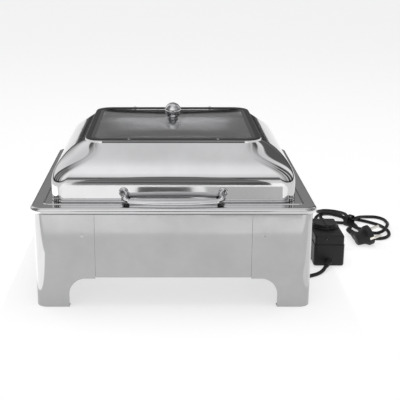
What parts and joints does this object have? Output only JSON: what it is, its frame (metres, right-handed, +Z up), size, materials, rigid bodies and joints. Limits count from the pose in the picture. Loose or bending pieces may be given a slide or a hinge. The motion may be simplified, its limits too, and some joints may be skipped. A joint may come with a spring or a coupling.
{
  "type": "roll top chafer",
  "caption": "Electric buffet chafer: polished steel stand on corner legs, rectangular pans, hinged domed lid with a glass window, ball knob and bar handle, corded dial controller.",
  "frame": {"origin": "centre of the chafer's footprint on the table, midway between the outer faces of the rim; the cords, controller and plug stand beside it", "axes": "+Z up, -Y towards the front with the handle, +X to the right where the controller lies"},
  "size_m": [0.629, 0.4895, 0.2769],
  "materials": {
    "polished_sheet": "mirror polished stainless sheet with fine rub marks",
    "polished_pan": "mirror polished stainless",
    "polished_lid": "mirror polished stainless, spun and buffed",
    "polished_knob": "mirror polished stainless",
    "plain_sheet": "satin stainless",
    "hinge_steel": "polished stainless",
    "fasteners": "plain stainless",
    "cast_aluminium": "cast",
    "heater_tube": "heat darkened",
    "ceramic": "matt ceramic",
    "black_gasket": "satin black",
    "black_rubber": "matt black",
    "smoked_glass": "clear, slightly grey",
    "black_plastic": "fine grained black",
    "dial_plastic": "satin black",
    "circuit_board": "green laminate",
    "thermostat_case": "brown moulded",
    "lamp_lens": "dark red lens",
    "cord_jacket": "smooth black rubber",
    "plug_rubber": "satin black moulding",
    "pin_metal": "nickel plated"
  },
  "bodies": {
    "stand": {"leg_front_left": "polished_sheet", "leg_front_right": "polished_sheet", "leg_rear_left": "polished_sheet", "leg_rear_right": "polished_sheet", "apron_front": "polished_sheet", "apron_rear": "polished_sheet", "apron_left": "polished_sheet", "apron_right": "polished_sheet", "pan_frame": "plain_sheet", "water_pan": "polished_pan", "food_pan": "plain_sheet", "heater_plate": "cast_aluminium", "heating_tube": "heater_tube", "heater_clamp": "plain_sheet", "thermal_cutout": "ceramic", "terminal_block": "ceramic", "heater_cover": "plain_sheet", "cover_studs": "fasteners", "cover_nuts": "fasteners", "heater_gland": "black_rubber", "hinge_frame_leaves": "hinge_steel", "hinge_pins": "fasteners", "hinge_frame_screws": "fasteners", "controller_base": "black_plastic", "controller_cover": "black_plastic", "controller_feet": "black_rubber", "controller_screws": "fasteners", "controller_board": "circuit_board", "thermostat": "thermostat_case", "pilot_lamp": "lamp_lens", "relief_heater": "black_rubber", "relief_mains": "black_rubber", "heater_cord": "cord_jacket", "mains_cord_start": "cord_jacket", "mains_bundle": "cord_jacket", "bundle_tie": "black_plastic", "mains_cord_end": "cord_jacket", "plug_body": "plug_rubber", "plug_pins": "pin_metal", "plug_earth_clips": "pin_metal"},
    "lid": {"lid_shell": "polished_lid", "lid_hem": "plain_sheet", "window_gasket": "black_gasket", "window_strip": "polished_lid", "window_glass": "smoked_glass", "window_screws": "fasteners", "ball_knob": "polished_knob", "knob_collar": "polished_knob", "knob_stud": "fasteners", "knob_washer": "black_rubber", "knob_nut": "fasteners", "handle_bar": "polished_knob", "handle_bracket_left": "polished_knob", "handle_bracket_right": "polished_knob", "handle_screws": "fasteners", "handle_bumpers": "black_rubber", "hinge_lid_leaves": "hinge_steel", "hinge_lid_screws": "fasteners"},
    "dial": {"control_dial": "dial_plastic", "dial_shaft": "fasteners"}
  },
  "joints": [
    {"name": "lid_hinge", "type": "hinge", "parent": "stand", "child": "lid", "pos_m": [0, 0.183, 0.166], "axis": [-1, 0, 0], "range_deg": [0, 95]},
    {"name": "dial_turn", "type": "hinge", "parent": "stand", "child": "dial", "pos_m": [0.2625, 0.03, 0.055], "axis": [0, 0, -1], "range_deg": [0, 270]}
  ]
}
